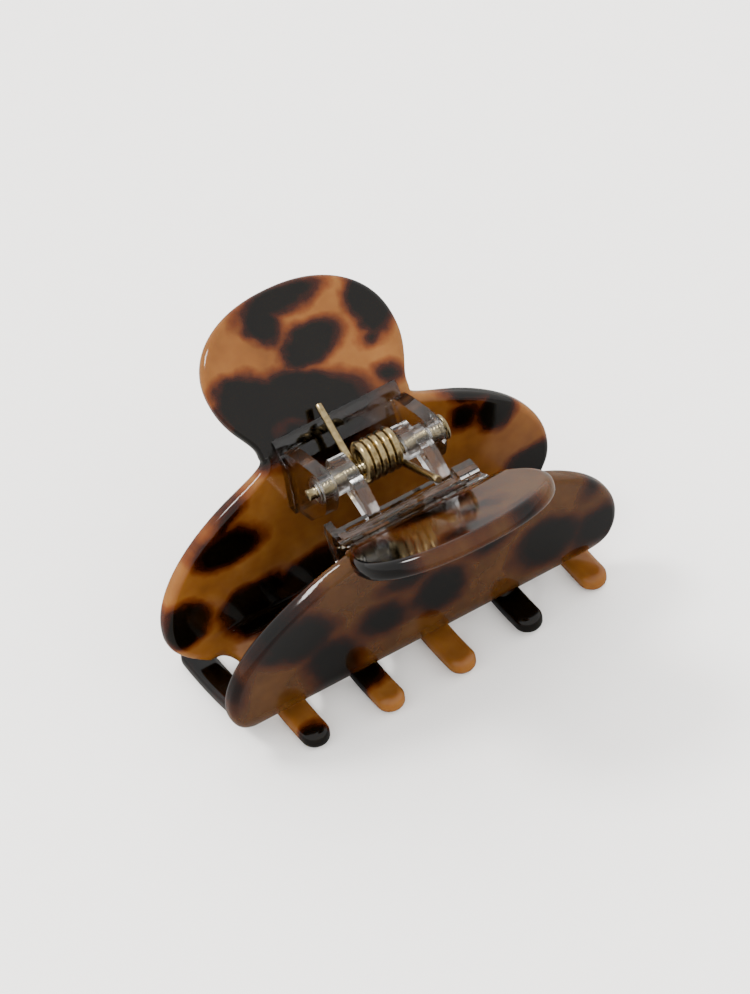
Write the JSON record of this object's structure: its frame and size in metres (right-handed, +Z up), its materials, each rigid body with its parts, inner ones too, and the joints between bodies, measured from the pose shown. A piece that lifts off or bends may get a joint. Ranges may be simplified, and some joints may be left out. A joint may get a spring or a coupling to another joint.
{
  "type": "hair claw clip",
  "caption": "Hair claw clip with two bent tortoiseshell jaws, interleaving teeth, round handles and a clear sprung hinge.",
  "frame": {"origin": "middle of the footprint, at the height of the surface it stands on", "axes": "+X along the hinge pin, towards the pin's head; +Y towards the back jaw; +Z up"},
  "size_m": [0.08, 0.0728, 0.0549],
  "materials": {
    "tortoiseshell": "polished",
    "tortoiseshell_front": "polished",
    "clear_plastic": "clear",
    "clear_plastic_front": "clear",
    "pin_brass": "polished",
    "spring_brass": "satin"
  },
  "bodies": {
    "back": {"back_jaw": "tortoiseshell", "back_hinge_leaf": "clear_plastic", "hinge_pin": "pin_brass", "spring": "spring_brass"},
    "front": {"front_jaw": "tortoiseshell_front", "front_hinge_leaf": "clear_plastic_front"}
  },
  "joints": [
    {"name": "hinge", "type": "hinge", "parent": "back", "child": "front", "pos_m": [0, 0, 0.04175], "axis": [-1, 0, 0], "range_deg": [0, 60], "stiffness_Nm_per_rad": 0.25, "springref_deg": -57.3, "deforming": ["spring"]}
  ]
}
